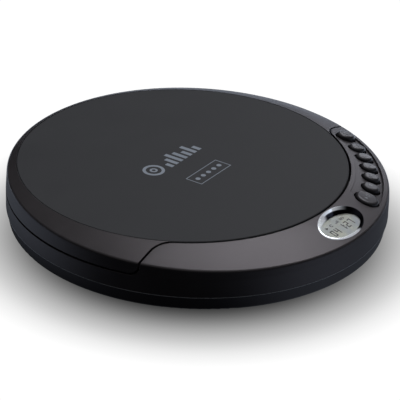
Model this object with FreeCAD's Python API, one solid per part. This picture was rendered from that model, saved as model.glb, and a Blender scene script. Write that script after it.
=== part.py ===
"""Portable CD player, lid closed. Millimetres, +Z up, +X right, +Y towards the lid hinge.

The origin is on the body axis, in the plane that the feet stand on. The display and keys face -Y.
"""

import FreeCAD, Part
import math
import os

from FreeCAD import Rotation, Vector

# ---- driving dimensions ------------------------------------------------------------------
body_r = 70.0                 # outer radius of the side wall
rim_r = 69.5                  # wall radius where it meets the sloping shoulder
top_z = 27.0                  # top of the lid's flat panel
lid_seam_z = 18.5             # top of the lower body wall, under the lid
base_seam_z = 12.5            # joint between the upper and the bottom case
base_z = 1.2                  # underside of the bottom case, standing on the feet
base_flat_r = 55.0            # the underside is flat out to here, then rises as a shallow cone
base_turn_r = 67.6            # the cone ends here and turns up into the side wall
base_slope = 0.44             # rise of the cone per unit of radius
base_wall_r = 69.0            # foot of the bottom case's side wall
base_wall_z = 7.9
wall = 1.8
gap = 0.8                     # shadow gap between the lid and the body

well_y = 6.8                  # the disc axis lies this far behind the body axis
panel_r = 60.7                # round flat panel on the lid
well_r = panel_r + gap
well_wall = 1.2
deck_z0 = 17.0                # underside of the deck below the disc
deck_z1 = lid_seam_z
plate_z = 24.6                # underside of the lid's top plate
inlay_z = 26.2                # seat of the panel inlay

crown_r = 110.0               # radius of the crowned shoulder's section
crown_start = 14.0            # its slope in degrees where it leaves the panel

split_y = -21.5               # the body's front ring ends here and the lid's ring begins
split_corner_r = 9.0          # plan rounding of the ring's end
skirt_r = body_r - 1.6        # inside of the lid's skirt

hinge_y = 67.0
hinge_z = 18.0
hinge_barrel_r = 1.7
hinge_pin_r = 0.8
hinge_half = 12.0
knuckle_half = 6.5
hinge_groove_r = 3.2          # room for the lid's knuckles to turn
notch_half = 21.5             # the lid's skirt is cut back behind the hinge
notch_z = 21.0

key_ring_r = 63.0             # the keys stand on this radius about the body axis
key_gap = 0.45
key_travel = 0.6
key_lift = 0.95                # the caps stand this far above the shoulder
key_round = 1.1               # rounding of a cap's top edge
open_lift = 1.5
small_key = (3.2, 2.7)        # half lengths of an oval key, radial and tangential
play_key = (4.3, 3.8)
open_key = (3.6, 3.2)
play_angle = 18.3             # degrees from the front, towards +X
small_angles = (26.3, 33.3, 40.3, 47.3, 54.3)
open_angle = 62.9
small_names = ("stop_key", "back_key", "forward_key", "mode_key", "bass_key")
recess_r = 67.7               # outer border of the shallow recess around the keys

display_x = -1.3
display_y = -61.7
display_tilt = 18.3           # slope of the shoulder there, in degrees
display_half = (11.6, 6.55)   # half lengths of the bezel's oval outline in plan
display_lift = 0.35           # the bezel stands this far above the shoulder
display_depth = 3.0
bowl_top_half = (11.95, 7.35)  # the bezel's bowl, measured along the slope
bowl_top_z = 1.2
glass_half = (10.2, 5.3)      # floor of the bowl
glass_shift = -0.45           # it lies nearer the front edge
glass_z = -1.25
glass_recline = 8.5           # it leans back from the shoulder's slope by this angle
glass_seat = 0.3              # the window and display reach this far under the bezel
window_t = 0.5
lcd_t = 1.6

door_x = 29.7                 # battery door: half width, far edge and hinge line
door_y1 = 53.4
door_axis_y = 24.2
door_axis_z = 2.1
door_pin_r = 0.75
door_t = 1.2

disc_z = 21.0                 # underside of a seated disc
disc_hole_r = 7.5
boss_r = disc_hole_r - 0.05
pawl_angles = (90.0, 210.0, 330.0)
pawl_reach = 0.2              # the hub's sprung pawls stand this far out of the boss
spindle_r = 1.0
running = 0.06                # radial clearance of a shaft in its bore

board_z0 = 10.4
board_z1 = 12.0
board_r = 65.5

board_screws_at = ((-50.0, -36.0), (29.0, 15.0), (9.0, -36.0))
switch_top = 13.5             # top of a key's switch on the board

headphone_y = 3.0             # the two sockets on the right-hand side
power_y = 15.0
jack_z = 15.0
headphone_bore = 1.8
power_bore = 2.1

chassis_z0 = 15.0
chassis_z1 = 16.2

cell_r = 7.1
cell_half = 25.0
cell_rows = (31.0, 46.0)
cell_z = 9.7

lens_x = -24.5                # the pickup rests at the inner end of its travel
rod_front_y = -4.5
rod_back_y = 19.0
rod_z = 12.3
gear_x = -27.0
gear_y = -13.5
gear_module = 0.5
small_teeth = 12
large_teeth = 36
pinion_teeth = 10
motor_angle = -42.5           # direction from the gear to the feed motor

boss_places = ((-37.5, 37.5), (37.5, 37.5), (-24.0, -46.0), (24.0, -46.0))
foot_places = ((-41.5, 27.0), (41.5, 27.0), (-33.0, -36.5), (33.0, -36.5))
chassis_screws_at = ((-50.0, -19.5), (-57.0, 24.2), (16.0, -21.0), (16.5, 17.5))

Z = Vector(0, 0, 1)
X = Vector(1, 0, 0)
Y = Vector(0, 1, 0)
ORIGIN = Vector(0, 0, 0)
WELL = Vector(0, well_y, 0)
FAR = 100.0


# ---- helpers -----------------------------------------------------------------------------
def box(x0, x1, y0, y1, z0, z1):
    return Part.makeBox(x1 - x0, y1 - y0, z1 - z0, Vector(x0, y0, z0))


def cyl(r, z0, z1, x=0.0, y=0.0):
    return Part.makeCylinder(r, z1 - z0, Vector(x, y, z0), Z)


def rod(r, start, direction, length):
    return Part.makeCylinder(r, length, start, direction)


def ring(r_in, r_out, z0, z1, x=0.0, y=0.0):
    return cyl(r_out, z0, z1, x, y).cut(cyl(r_in, z0 - 1, z1 + 1, x, y))


def fuse(shapes):
    shapes = list(shapes)
    joined = shapes[0]
    if len(shapes) > 1:
        joined = joined.fuse(shapes[1:])
    return joined.removeSplitter()


def group(shapes):
    return Part.makeCompound(list(shapes))


def polygon(points, z0, z1):
    corners = [Vector(x, y, z0) for x, y in points]
    wire = Part.makePolygon(corners + corners[:1])
    return Part.Face(wire).extrude(Vector(0, 0, z1 - z0))


def lathe(edges, axis_at):
    """Solid of revolution about a vertical axis, from edges drawn in the XZ plane."""
    wire = Part.Wire(edges)
    turned = Part.Face(wire).revolve(ORIGIN, Z, 360)
    turned.translate(axis_at)
    return turned


def line(a, b):
    return Part.makeLine(Vector(a[0], 0, a[1]), Vector(b[0], 0, b[1]))


def arc(a, mid, b):
    points = [Vector(p[0], 0, p[1]) for p in (a, mid, b)]
    return Part.Arc(*points).toShape()


def oval(half_u, half_v, z0, z1):
    """Vertical oval prism, half_u along X and half_v along Y, whichever is longer."""
    long_first = half_u >= half_v
    major, minor = max(half_u, half_v), min(half_u, half_v)
    if major - minor < 1e-6:
        return cyl(major, z0, z1)
    ellipse = Part.Ellipse(ORIGIN, major, minor).toShape()
    solid = Part.Face(Part.Wire([ellipse])).extrude(Vector(0, 0, z1 - z0))
    if not long_first:
        solid.rotate(ORIGIN, Z, 90)
    solid.translate(Vector(0, 0, z0))
    return solid


def ring_place(angle, r=key_ring_r):
    """Point on a circle about the body axis, by its angle from the front towards +X."""
    a = math.radians(angle)
    return Vector(r * math.sin(a), -r * math.cos(a), 0)


def put_on_ring(shape, angle, r=key_ring_r):
    """Move a shape drawn with its radial direction along -Y to its place on the key ring."""
    shape.rotate(ORIGIN, Z, angle)
    shape.translate(ring_place(angle, r))
    return shape


# ---- outer form --------------------------------------------------------------------------
def crown_z(s, lift=0.0):
    """Height of the crowned shoulder at distance s from the disc axis."""
    slope = math.radians(crown_start)
    centre_s = panel_r - crown_r * math.sin(slope)
    centre_z = top_z - crown_r * math.cos(slope)
    return centre_z + math.sqrt((crown_r + lift) ** 2 - (s - centre_s) ** 2)


def under_crown(lift=0.0, extra_slope=0.0, extra_from=63.0):
    """Everything below the shoulder's surface, raised by lift, or falling faster outwards."""
    def height(s):
        return crown_z(s, lift) - extra_slope * max(0.0, s - extra_from)

    inner, outer = panel_r - 0.5, 80.0
    middle = 0.5 * (inner + outer)
    top = crown_z(panel_r, lift) + 0.02
    edges = [
        line((0, -5), (0, top)),
        line((0, top), (inner, top)),
        line((inner, top), (inner, height(inner))),
        arc((inner, height(inner)), (middle, height(middle)), (outer, height(outer))),
        line((outer, height(outer)), (outer, -5)),
        line((outer, -5), (0, -5)),
    ]
    return lathe(edges, WELL)


def side_solid(inset=0.0, z0=base_seam_z):
    """The upper body's side wall, slightly drafted above the lid seam."""
    draft_z = lid_seam_z + 0.5
    points = [(0, z0), (body_r - inset, z0), (body_r - inset, draft_z), (rim_r - inset, 28), (0, 28)]
    edges = [line(a, b) for a, b in zip(points, points[1:] + points[:1])]
    return lathe(edges, ORIGIN)


def upper_solid(inset=0.0):
    return side_solid(inset).common(under_crown(-inset))


def rim_edges(solid, z_low):
    """Edges where the side wall meets the shoulder."""
    found = []
    for edge in solid.Edges:
        box_ = edge.BoundBox
        middle = edge.valueAt(0.5 * (edge.FirstParameter + edge.LastParameter))
        radius = math.hypot(middle.x, middle.y)
        if abs(radius - rim_r) < 0.35 and box_.ZMin > z_low and edge.Length > 20:
            found.append(edge)
    return found


def rounded_rim(solid):
    edges = rim_edges(solid, 20.0)
    return solid.makeFillet(1.0, edges) if edges else solid


def corner_patch(margin, z0, z1):
    """The two rounded corners in plan between the round well and the straight split line."""
    circle_r = well_r - margin
    line_y = split_y + margin
    fillet_r = split_corner_r + margin
    centre_y = split_y - split_corner_r
    centre_x = math.sqrt((well_r + split_corner_r) ** 2 - (centre_y - well_y) ** 2)
    to_well = Vector(-centre_x, well_y - centre_y, 0).normalize()
    touch = Vector(centre_x, centre_y, 0) + to_well * fillet_r
    corner_x = math.sqrt(circle_r ** 2 - (line_y - well_y) ** 2)
    pieces = []
    for side in (-1, 1):
        kite = [(corner_x - 1.0, line_y + 0.3), (centre_x, line_y + 0.3), (centre_x, line_y),
                (centre_x, centre_y), (touch.x, touch.y), (touch.x - 1.0, touch.y + 0.5)]
        kite = [(side * x, y) for x, y in kite]
        piece = polygon(kite, z0, z1).cut(cyl(fillet_r, z0 - 1, z1 + 1, side * centre_x, centre_y))
        pieces.append(piece)
    return pieces


def behind_split(margin):
    """The space behind and above the split, its lower front corner rounded as seen from the side."""
    y0 = split_y + margin
    z0 = lid_seam_z + margin
    r = 3.8 - margin
    solid = box(-FAR, FAR, y0, FAR, z0, 40)
    edge = [e for e in solid.Edges
            if abs(e.BoundBox.YMax - y0) < 1e-6 and abs(e.BoundBox.ZMax - z0) < 1e-6]
    return solid.makeFillet(r, edge)


# ---- casings -----------------------------------------------------------------------------
def base_profile(inset):
    """Outer surface of the bottom case, or that surface moved inwards, up to the case seam."""
    floor = base_z + inset
    thicken = inset * math.hypot(1.0, base_slope)
    turn_r = base_turn_r - 0.9 * inset
    turn_z = base_z + base_slope * (turn_r - base_flat_r) + thicken
    flat_r = base_flat_r - (thicken - inset) / base_slope
    wall_r, wall_z = base_wall_r - inset, base_wall_z + 0.6 * inset
    mid = (wall_r - 0.32 * (wall_r - turn_r), turn_z + 0.38 * (wall_z - turn_z))
    top_r, top = body_r - 0.1 - inset, base_seam_z - 0.2
    edges = [
        line((0, floor), (flat_r, floor)),
        line((flat_r, floor), (turn_r, turn_z)),
        arc((turn_r, turn_z), mid, (wall_r, wall_z)),
        line((wall_r, wall_z), (top_r, top)),
        line((top_r, top), (0, top)),
        line((0, top), (0, floor)),
    ]
    return lathe(edges, ORIGIN)


def compartment_walls():
    """Walls around the battery compartment and the blocks that hold the door's pins."""
    walls = []
    for x0, x1 in ((-31.8, -30.3), (30.3, 31.8)):
        walls.append(box(x0, x1, 22.4, 54.8, 2.5, 14.0))
    for y0, y1 in ((21.9, 22.9), (54.2, 55.4)):
        walls.append(box(-31.8, 31.8, y0, y1, 2.5, 14.0))
    for side in (-1, 1):
        walls.append(box(side * 31.5 - 1.2, side * 31.5 + 1.2, 22.4, 26.2, 2.0, 4.2))
    return fuse(walls)


def bottom_case():
    shell = base_profile(0).cut(base_profile(wall))
    socket_gap = box(45, 80, -14, 26, 10, 15)
    lip = ring(67.1, 68.0, 11.0, 13.2).cut(socket_gap)
    neck = ring(66.9, 68.9, 10.6, 12.3).cut(socket_gap).common(base_profile(0))
    inside = [cyl(3.6, 2.5, 8.0, x, y) for x, y in boss_places]
    inside += board_posts()
    inside.append(compartment_walls())
    within = fuse([base_profile(0.4), cyl(66.5, 12.0, 15.0)])
    inside = [piece.common(within) for piece in inside]
    body = fuse([shell, lip, neck] + inside)
    for x, y in boss_places:
        body = body.cut(cyl(1.4, 0, 20, x, y))
        body = body.cut(cyl(2.6, 0, 4.0, x, y))
    body = body.cut(box(-door_x - 0.3, door_x + 0.3, door_axis_y - 1.2, door_y1 + 0.4, 0, 7.5))
    body = body.cut(rod(door_pin_r + running, Vector(-31.4, door_axis_y, door_axis_z), X, 62.8))
    for x, y in foot_places:
        body = body.cut(cyl(5.05, 0, 1.6, x, y))
    return body


def battery_door():
    skin = base_profile(0).cut(base_profile(door_t))
    plate = skin.common(box(-door_x, door_x, door_axis_y, door_y1, 0, 8.0))
    front = rod(0.9, Vector(-door_x, door_axis_y, door_axis_z), X, 2 * door_x)
    tab = box(-4, 4, 52.2, 53.1, 2.2, 5.0)
    pins = rod(door_pin_r, Vector(-31.2, door_axis_y, door_axis_z), X, 62.4)
    ribs = [box(-10, 10, y, y + 0.5, base_z - 1, base_z + 0.35) for y in (46.5, 48.5, 50.5)]
    return fuse([plate, front, tab, pins]).cut(group(ribs))


def well_opening():
    """Opening in the deck for the turntable and the pickup."""
    slot = box(-56.0, 0, well_y - 5.2, well_y + 5.2, 10, 22)
    end = cyl(5.2, 10, 22, -56.0, well_y)
    return fuse([cyl(13.0, 10, 22, 0, well_y), slot, end])


def display_frame(shape):
    """Tilt a shape drawn about the origin into the display's place on the sloping shoulder."""
    shape.rotate(ORIGIN, X, display_tilt)
    shape.translate(Vector(display_x, display_y, crown_z(well_y - display_y)))
    return shape


def display_body(lift):
    """Upright oval block of the display's outline, from display_depth below the shoulder up."""
    block = oval(display_half[0], display_half[1], 15, 30)
    block.translate(Vector(display_x, display_y, 0))
    above = display_frame(box(-15, 15, -12, 12, -display_depth, 9))
    return block.common(above).common(under_crown(lift))


def key_recess():
    """Shallow crescent around the keys, deepest at its outer border."""
    floor = under_crown(0.0, extra_slope=0.08)
    above = under_crown(3.0).cut(floor)
    a, b = math.radians(play_angle), math.radians(open_angle)
    reach = 90.0
    sector = polygon([(0, 0), (reach * math.sin(a), -reach * math.cos(a)),
                      (reach * math.sin(0.5 * (a + b)) * 1.2, -reach * math.cos(0.5 * (a + b)) * 1.2),
                      (reach * math.sin(b), -reach * math.cos(b))], 15, 30)
    return above.common(sector).common(cyl(recess_r, 15, 30)).cut(cyl(63.2, 14, 31, 0, well_y))


def key_list():
    """Each key's name, angle, half lengths and height above the shoulder."""
    keys = [("play_key", play_angle, play_key, key_lift)]
    keys += [(name, angle, small_key, key_lift) for name, angle in zip(small_names, small_angles)]
    keys.append(("open_key", open_angle, open_key, open_lift))
    return keys


def top_case():
    shell = rounded_rim(upper_solid()).cut(upper_solid(wall))
    front_only = behind_split(0.0)
    solid_end = box(-FAR, FAR, split_y - 6.0, split_y + 5, deck_z0, 30)
    front_block = rounded_rim(upper_solid()).common(solid_end).cut(cyl(well_r + 0.5, 10, 40, 0, well_y))
    wall_full = ring(well_r, well_r + well_wall, deck_z0, 30, 0, well_y).common(upper_solid())
    low_wall = ring(body_r - wall, body_r, base_seam_z, deck_z1)
    deck_plan = fuse([cyl(well_r + 0.5, deck_z0, deck_z1, 0, well_y),
                      box(-FAR, FAR, split_y - 2.0, FAR, deck_z0, deck_z1)])
    deck = deck_plan.common(cyl(body_r - 0.5, deck_z0, deck_z1))
    case = fuse([shell, front_block, wall_full])
    case = case.cut(cyl(well_r, deck_z1, 40, 0, well_y))
    case = case.cut(front_only)
    case = case.cut(group(corner_patch(0.0, 21.2, 40)))
    lid_side_wall = ring(well_r, well_r + well_wall, deck_z0, 23.6, 0, well_y)
    lid_side_wall = lid_side_wall.common(cyl(68.0, 0, 30)).common(box(-FAR, FAR, -27, FAR, 0, 30))
    bosses = [cyl(3.2, 8.1, deck_z0 + 0.5, x, y) for x, y in boss_places]
    posts = [cyl(2.2, chassis_z1 + 0.4, deck_z0 + 0.5, x, y) for x, y in chassis_screws_at]
    hinge_block = box(-hinge_half - 1, hinge_half + 1, 62.6, 71, 13.4, deck_z1)
    hinge_block = hinge_block.common(cyl(body_r, 0, 30))
    knuckle_length = hinge_half - knuckle_half - 0.5
    knuckles = []
    for x0 in (-hinge_half, knuckle_half + 0.5):
        knuckles.append(rod(hinge_barrel_r, Vector(x0, hinge_y, hinge_z), X, knuckle_length))
    case = fuse([case, low_wall, deck, lid_side_wall, hinge_block] + bosses + posts + knuckles)
    case = case.cut(well_opening())
    groove_at = Vector(-knuckle_half - 0.4, hinge_y, hinge_z)
    case = case.cut(rod(hinge_groove_r, groove_at, X, 2 * knuckle_half + 0.8))
    case = case.cut(rod(hinge_pin_r, Vector(-hinge_half, hinge_y, hinge_z), X, 2 * hinge_half))
    for x, y in boss_places:
        case = case.cut(cyl(1.1, 0, 14.5, x, y))
    for x, y in chassis_screws_at:
        case = case.cut(cyl(0.8, 10, deck_z1 - 0.5, x, y))
    case = case.cut(key_recess())
    for _, angle, half, _ in key_list():
        hole = oval(half[1] + key_gap, half[0] + key_gap, deck_z0 - 1, 30)
        case = case.cut(put_on_ring(hole, angle))
        if half is not open_key:
            room = box(-4.9, 4.9, -4.9, 4.9, 13, 21.3)
            room = put_on_ring(room, angle).common(cyl(68.0, 0, 40))
            case = case.cut(room.cut(cyl(62.9, 0, 40, 0, well_y)))
    case = case.cut(box(58.6, 62.4, -20.5, -14.6, deck_z0 - 1, 23.0))
    case = case.cut(display_body(4.0))
    case = case.cut(glass_oval(glass_seat + 0.1, -8.0, 0))
    case = case.cut(rod(2.45, Vector(54, headphone_y, jack_z), X, 20))
    case = case.cut(rod(2.65, Vector(54, power_y, jack_z), X, 20))
    return case


def feet():
    return group(cyl(5.0, 0, 1.6, x, y) for x, y in foot_places)


def screw(x, y, z_head, head_r, head_h, shank_r, length):
    body = fuse([cyl(head_r, z_head, z_head + head_h, x, y),
                 cyl(shank_r, z_head + head_h, z_head + head_h + length, x, y)])
    slot_a = box(x - 0.25, x + 0.25, y - 1.1, y + 1.1, z_head - 1, z_head + 0.6)
    slot_b = box(x - 1.1, x + 1.1, y - 0.25, y + 0.25, z_head - 1, z_head + 0.6)
    return body.cut(slot_a).cut(slot_b)


def case_screws():
    return group(screw(x, y, 2.4, 2.3, 1.6, 1.1, 9.5) for x, y in boss_places)


# ---- lid ---------------------------------------------------------------------------------
def lid_plan():
    """Everything inside the lid's outline in plan and above its lower edge."""
    disc = cyl(panel_r - 0.1, plate_z, 40, 0, well_y)
    return fuse([disc, behind_split(gap)] + corner_patch(gap, 22.0, 40))


def lid_shell():
    outer = rounded_rim(upper_solid()).common(lid_plan())
    rear = box(-FAR, FAR, split_y + gap + 1.6, FAR, 10, 40)
    hollow = upper_solid(1.6).common(rear)
    hollow = hollow.common(cyl(FAR, 10, plate_z))
    over_well = cyl(well_r + well_wall + 0.5, 10, plate_z, 0, well_y).common(cyl(skirt_r, 10, plate_z))
    hollow = fuse([hollow, over_well])
    notch = box(-notch_half, notch_half, 60, 75, 10, notch_z)
    shell = outer.cut(hollow).cut(cyl(panel_r + 0.12, inlay_z, 40, 0, well_y)).cut(notch)
    parts = [shell]
    for x0, x1 in ((-knuckle_half, -2.6), (2.6, knuckle_half)):
        web = box(x0, x1, hinge_y - 0.6, hinge_y + 1.9, hinge_z, notch_z + 0.8)
        parts.append(rod(hinge_barrel_r, Vector(x0, hinge_y, hinge_z), X, x1 - x0))
        parts.append(web)
    post = box(59.2, 61.8, -20.0, -17.0, 14.0, plate_z + 0.3).common(upper_solid(0.8))
    lip = box(59.2, 61.8, -17.0, -15.1, 14.0, 14.9)
    parts += [post, lip]
    lid = fuse(parts)
    return lid.cut(rod(hinge_pin_r + running, Vector(-hinge_half, hinge_y, hinge_z), X, 2 * hinge_half))


def lid_panel():
    panel = cyl(panel_r, inlay_z, top_z, 0, well_y)
    edge = [e for e in panel.Edges if e.BoundBox.ZMin > top_z - 0.01]
    return panel.makeChamfer(0.25, edge)


def hinge_pin():
    return rod(hinge_pin_r, Vector(-hinge_half, hinge_y, hinge_z), X, 2 * hinge_half)


coil_steps = 12                # straight lengths of wire in each turn of a coil


def coil(radius, wire_r, pitch, height, start, axis):
    """Coil of six-sided wire, its turns made of short straight lengths."""
    count = round(coil_steps * height / pitch)
    path = []
    for i in range(count + 1):
        a = 2 * math.pi * i / coil_steps
        path.append(Vector(radius * math.cos(a), radius * math.sin(a), height * i / count))
    run = Part.makePolygon(path)
    corners = []
    for i in range(7):
        a = math.radians(60 * i)
        corners.append(path[0] + Vector(wire_r * math.cos(a), 0, wire_r * math.sin(a)))
    spring = run.makePipeShell([Part.makePolygon(corners)], True, False, 1)
    spring.rotate(ORIGIN, *spring_turn(axis))
    spring.translate(start)
    return spring


def spring_turn(axis):
    turn = Rotation(Z, axis)
    return turn.Axis, math.degrees(turn.Angle)


def lid_spring():
    return coil(1.35, 0.3, 0.85, 4.0, Vector(-2.0, hinge_y, hinge_z), X)


# ---- keys --------------------------------------------------------------------------------
def key_cap(angle, half, lift, stem_end):
    bottom = 20.3
    cap = oval(half[1], half[0], bottom, 30)
    cap = put_on_ring(cap, angle).common(under_crown(lift))
    top_edges = [e for e in cap.Edges if e.BoundBox.ZMin > 21.5]
    cap = cap.makeFillet(key_round, top_edges)
    if half is open_key:
        stem = put_on_ring(box(-1.5, 1.5, -1.5, 1.5, stem_end, bottom + 0.5), angle)
        return fuse([cap, stem])
    flange = put_on_ring(oval(half[1] + 0.8, half[0] + 0.7, bottom, bottom + 0.8), angle)
    stem = put_on_ring(oval(1.5, 1.2, stem_end, bottom + 0.5), angle)
    flange = flange.common(cyl(67.6, 0, 40))
    return fuse([cap, flange, stem])


def key_shape(angle, half, lift):
    stem_end = 16.5 if half is open_key else switch_top + key_travel + 0.1
    return key_cap(angle, half, lift, stem_end)


def key_switches():
    switches = []
    for _, angle, half, _ in key_list():
        if half is open_key:
            continue
        body = box(-2.2, 2.2, -2.2, 2.2, board_z1, switch_top - 0.5)
        button = cyl(1.0, switch_top - 0.7, switch_top)
        switches.append(put_on_ring(fuse([body, button]), angle, 62.6))
    return group(switches)


def latch_slider():
    frame = box(56.6, 64.0, -23.0, -12.0, 15.0, 16.2)
    window = box(58.2, 62.8, -21.6, -15.9, 14, 17)
    arm = box(56.0, 59.5, -27.2, -23.0, 15.0, 16.2)
    return fuse([frame, arm]).cut(window).common(cyl(67.4, 10, 20))


def latch_spring():
    return coil(1.3, 0.25, 1.1, 5.0, Vector(60.3, -10.2, 15.3), Y)


# ---- display -----------------------------------------------------------------------------
def glass_frame(shape):
    """Put a shape drawn about the origin on the bowl's reclined floor."""
    shape.rotate(ORIGIN, X, -glass_recline)
    shape.translate(Vector(0, glass_shift, glass_z))
    return display_frame(shape)


def glass_oval(margin, z0, z1):
    return glass_frame(oval(glass_half[0] + margin, glass_half[1] + margin, z0, z1))


def oval_wire(half, z):
    wire = Part.Wire([Part.Ellipse(ORIGIN, half[0], half[1]).toShape()])
    wire.translate(Vector(0, 0, z))
    return wire


def display_bezel():
    outer = display_body(display_lift)
    top = [e for e in outer.Edges if e.BoundBox.ZMax > 25.5 and e.Length > 30]
    outer = outer.makeFillet(0.2, top)
    rim = display_frame(oval_wire(bowl_top_half, bowl_top_z))
    floor = glass_frame(oval_wire(glass_half, 0))
    bowl = Part.makeLoft([rim, floor], True)
    return outer.cut(bowl).cut(glass_oval(glass_seat, -8.0, 0.01))


def display_window():
    return glass_oval(glass_seat, -window_t, 0)


def lcd_module():
    top = -window_t - 0.05
    return glass_oval(glass_seat - 0.1, top - lcd_t, top)


# ---- power and board ---------------------------------------------------------------------
def battery_cells():
    cells = []
    for y, turn in zip(cell_rows, (1, -1)):
        can = rod(cell_r, Vector(-turn * cell_half, y, cell_z), X * turn, 2 * cell_half - 1.0)
        button = rod(2.7, Vector(turn * (cell_half - 1.0), y, cell_z), X * turn, 1.0)
        cells.append(fuse([can, button]))
    return group(cells)


def battery_springs():
    """Two coils at opposite ends, because the cells lie head to tail."""
    front = coil(3.0, 0.35, 1.1, 4.0, Vector(-29.6, cell_rows[0], cell_z), X)
    back = front.copy()
    back.rotate(Vector(0, 0.5 * sum(cell_rows), 0), Z, 180)
    return group([front, back])


def battery_contacts():
    plates = [box(-30.3, -30.0, 25, 52, 6, 13.5)]
    for y0, y1 in ((25, 37), (40, 52)):
        plates.append(box(30.0, 30.3, y0, y1, 6, 13.5))
    return group(plates)


def main_board():
    front = box(-FAR, FAR, -FAR, -30.0, board_z0, board_z1)
    right = box(24.0, FAR, -30.5, 20.0, board_z0, board_z1)
    board = fuse([front, right]).common(cyl(board_r, 0, 30))
    for x, y in boss_places[2:]:
        board = board.cut(cyl(3.9, 5, 15, x, y))
    for x, y in board_screws_at:
        board = board.cut(cyl(1.1, 5, 15, x, y))
    return board


def board_screws():
    screws = []
    for x, y in board_screws_at:
        head = cyl(1.9, board_z1, board_z1 + 1.3, x, y)
        body = fuse([head, cyl(1.0, board_z0 - 3, board_z1, x, y)])
        screws.append(body.cut(box(x - 1.2, x + 1.2, y - 0.2, y + 0.2, board_z1 + 0.8, 20)))
    return group(screws)


def board_posts():
    return [ring(1.0, 2.2, 2.5, board_z0, x, y) for x, y in board_screws_at]


def chip(x, y, size, height, legs):
    """Flat chip with a row of legs along each of two sides."""
    body = box(x - size / 2, x + size / 2, y - size / 2, y + size / 2, board_z1 + 0.1, board_z1 + height)
    pieces = [body]
    pitch = (size - 1.0) / legs
    for i in range(legs):
        lx = x - size / 2 + 0.5 + pitch * (i + 0.5)
        for side in (-1, 1):
            y0 = y + side * size / 2
            foot = box(lx - 0.18, lx + 0.18, min(y0, y0 + side * 1.0), max(y0, y0 + side * 1.0),
                       board_z1, board_z1 + 0.5)
            pieces.append(foot)
    return fuse(pieces)


def control_chips():
    places = ((44.0, -8.0, 10.0, 12), (36.0, 9.0, 7.0, 8), (-14.0, -42.0, 8.0, 9))
    return group(chip(x, y, size, 1.6, legs) for x, y, size, legs in places)


def capacitors():
    cans = []
    for x, y in ((-36.0, -44.0), (-33.5, -50.5), (46.0, 16.0), (54.0, -8.0)):
        can = cyl(2.0, board_z1, board_z1 + 4.2, x, y)
        cans.append(can.makeFillet(0.3, [e for e in can.Edges if e.BoundBox.ZMin > board_z1 + 4]))
    return group(cans)


def crystal():
    can = box(31.0, 36.0, -4.5, -2.5, board_z1, board_z1 + 2.5)
    upright = [e for e in can.Edges if e.BoundBox.ZLength > 2]
    return can.makeFillet(0.95, upright)


def headphone_jack():
    block = box(54.0, 65.2, headphone_y - 3.2, headphone_y + 3.2, board_z1, 16.9)
    barrel = rod(2.35, Vector(64, headphone_y, jack_z), X, 69.3 - 64)
    return fuse([block, barrel]).cut(rod(headphone_bore, Vector(55.5, headphone_y, jack_z), X, 20))


def power_jack():
    block = box(52.5, 63.5, power_y - 3.6, power_y + 3.6, board_z1 + 0.1, 16.9)
    block = block.cut(box(60, 70, power_y + 2.8, power_y + 5, 10, 20))
    barrel = rod(2.55, Vector(62, power_y, jack_z), X, 67.6 - 62)
    body = fuse([block, barrel]).cut(rod(power_bore, Vector(55, power_y, jack_z), X, 20))
    pin = rod(0.65, Vector(54.5, power_y, jack_z), X, 12)
    return fuse([body, pin])


def lid_switch():
    body = box(58.4, 62.6, -21.0, -17.0, board_z1, board_z1 + 1.1)
    lever = box(58.9, 62.1, -20.6, -17.4, board_z1 + 1.0, board_z1 + 1.4)
    return fuse([body, lever])


def wire(points, r=0.45):
    """Round insulated wire through the given points, its bends rounded."""
    vectors = [Vector(*p) for p in points]
    pieces = []
    for a, b in zip(vectors, vectors[1:]):
        pieces.append(rod(r, a, b - a, (b - a).Length))
    for corner in vectors[1:-1]:
        pieces.append(Part.makeSphere(r, corner))
    return fuse(pieces)


def battery_wires():
    runs = []
    for step in (0.0, 1.4):
        path = [(32.4 + step, 23.4, 13.0), (33.5 + step, 18.9, 12.8), (33.5 + step, 16.5, 12.5)]
        runs.append(wire(path))
    return group(runs)


def motor_wires():
    runs = []
    for step in (0.0, 1.3):
        path = [(-14.0 + step, -28.6, 13.4), (-13.0 + step, -31.0, 13.2), (-12.0 + step, -34.0, 12.5)]
        runs.append(wire(path, 0.4))
    return group(runs)


# ---- disc drive --------------------------------------------------------------------------
def mech_chassis():
    plate = fuse([box(-64.5, 21.0, -26.0, 22.0, chassis_z0, chassis_z1),
                  box(-64.5, -51.0, 21.0, 29.0, chassis_z0, chassis_z1)]).common(cyl(65.6, 0, 30))
    plate = plate.cut(box(-61.0, -19.0, well_y - 5.2, well_y + 5.2, 10, 20))
    plate = plate.cut(cyl(4.2, 10, 20, 0, well_y))
    for x, y in chassis_screws_at:
        plate = plate.cut(cyl(2.6, 10, 20, x, y))
    holders = []
    for x0, x1 in ((-62.6, -61.0), (-14.8, -12.2)):
        for y0, y1 in ((rod_front_y - 2.2, rod_front_y + 2.2), (rod_back_y - 1.8, rod_back_y + 1.8)):
            holders.append(box(x0, x1, y0, y1, 10.6, chassis_z0 + 0.2))
    axle = cyl(0.9, 5.6, chassis_z0 + 0.2, gear_x, gear_y)
    chassis = fuse([plate, axle] + holders).common(cyl(66.4, 0, 30))
    chassis = chassis.cut(rod(1.5, Vector(-62.8, rod_front_y, rod_z), X, 52))
    return chassis.cut(rod(1.0, Vector(-62.8, rod_back_y, rod_z), X, 52))


def chassis_dampers():
    dampers = []
    for x, y in chassis_screws_at:
        outline = fuse([cyl(2.6, 14.6, 16.6, x, y), ring(0.9, 3.4, 14.0, 15.0, x, y)])
        upper = cyl(3.4, 16.2, 16.6, x, y)
        dampers.append(fuse([outline, upper]).cut(cyl(0.8, 10, 20, x, y)))
    return group(dampers)


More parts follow.
